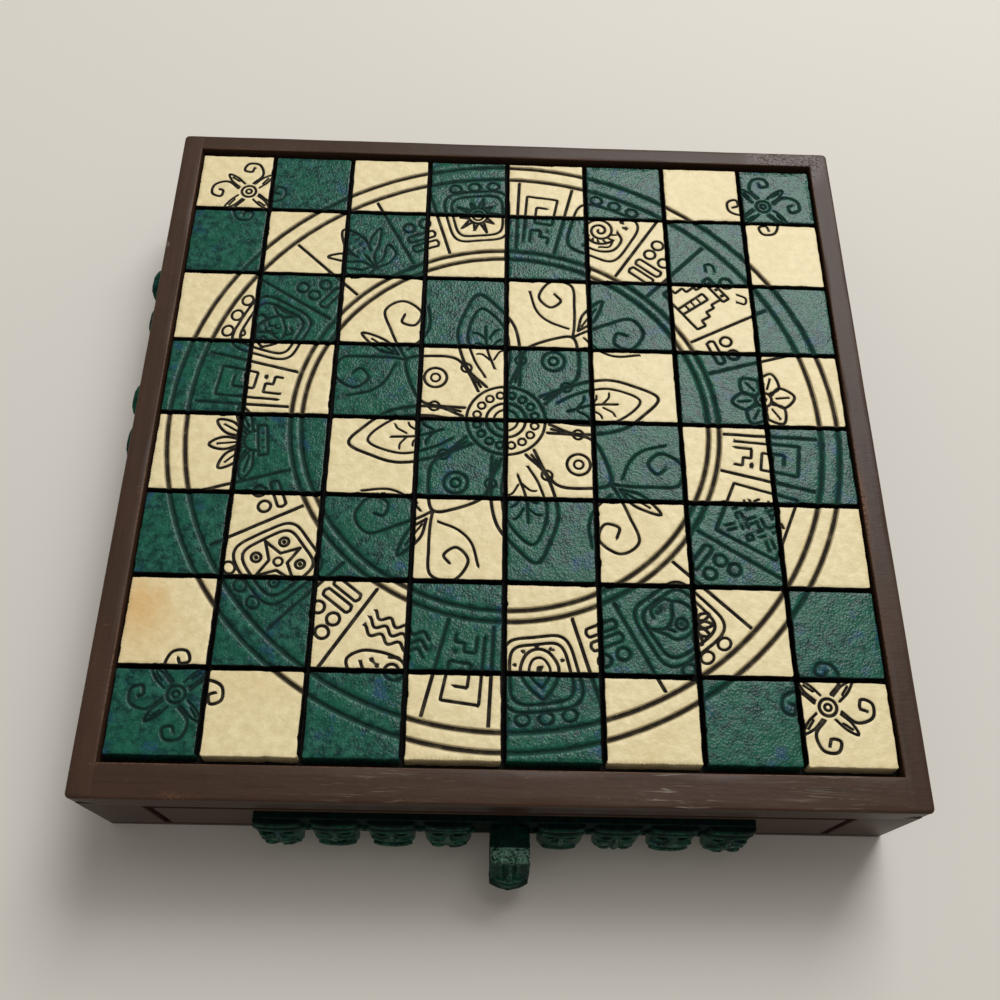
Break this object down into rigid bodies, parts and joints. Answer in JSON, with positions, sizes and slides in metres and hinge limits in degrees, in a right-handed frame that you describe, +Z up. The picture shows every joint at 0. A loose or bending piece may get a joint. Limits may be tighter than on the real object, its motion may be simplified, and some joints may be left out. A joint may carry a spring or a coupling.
{
  "type": "chess set",
  "caption": "Square wooden chess box with an inlaid stone playing field on top, carved friezes on its sides, and a drawer of chessmen at the front and at the back.",
  "frame": {"origin": "centre of the underside of the case, on the surface that it stands on", "axes": "+Z up, -Y towards the player at the front drawer, +X to that player's right"},
  "size_m": [0.2965, 0.3276, 0.048],
  "materials": {
    "dark_wood": "dark stained wood under a thin satin varnish",
    "raw_wood": "bare sanded wood",
    "nail_steel": "dulled wire nails",
    "black_bed": "matt black setting compound",
    "green_stone": "cast crushed malachite, glossy and slightly pitted",
    "cream_stone": "cast crushed cream stone, satin",
    "felt": "thin green felt"
  },
  "bodies": {
    "case": {"base_panel": "dark_wood", "base_nails": "nail_steel", "left_wall": "dark_wood", "right_wall": "dark_wood", "front_left_stile": "dark_wood", "front_right_stile": "dark_wood", "back_left_stile": "dark_wood", "back_right_stile": "dark_wood", "partition": "raw_wood", "front_left_guide": "raw_wood", "front_right_guide": "raw_wood", "back_left_guide": "raw_wood", "back_right_guide": "raw_wood", "deck": "dark_wood", "front_rail": "dark_wood", "back_rail": "dark_wood", "left_rail": "dark_wood", "right_rail": "dark_wood", "bed": "black_bed", "green_squares": "green_stone", "cream_squares": "cream_stone", "left_relief": "green_stone", "right_relief": "green_stone"},
    "front_drawer": {"front_drawer_face": "dark_wood", "front_drawer_left_side": "raw_wood", "front_drawer_right_side": "raw_wood", "front_drawer_rear": "raw_wood", "front_drawer_bottom": "raw_wood", "front_drawer_felt": "felt", "front_drawer_frieze": "green_stone", "front_drawer_pull": "green_stone", "green_king": "green_stone", "green_queen": "green_stone", "green_bishop_1": "green_stone", "green_bishop_2": "green_stone", "green_knight_1": "green_stone", "green_knight_2": "green_stone", "green_rook_1": "green_stone", "green_rook_2": "green_stone", "green_pawns": "green_stone"},
    "back_drawer": {"back_drawer_face": "dark_wood", "back_drawer_left_side": "raw_wood", "back_drawer_right_side": "raw_wood", "back_drawer_rear": "raw_wood", "back_drawer_bottom": "raw_wood", "back_drawer_felt": "felt", "back_drawer_frieze": "green_stone", "back_drawer_pull": "green_stone", "cream_king": "cream_stone", "cream_queen": "cream_stone", "cream_bishop_1": "cream_stone", "cream_bishop_2": "cream_stone", "cream_knight_1": "cream_stone", "cream_knight_2": "cream_stone", "cream_rook_1": "cream_stone", "cream_rook_2": "cream_stone", "cream_pawns": "cream_stone"}
  },
  "joints": [
    {"name": "front_drawer_slide", "type": "slide", "parent": "case", "child": "front_drawer", "axis": [0, -1, 0], "range_m": [0, 0.1]},
    {"name": "back_drawer_slide", "type": "slide", "parent": "case", "child": "back_drawer", "axis": [0, 1, 0], "range_m": [0, 0.1]}
  ]
}
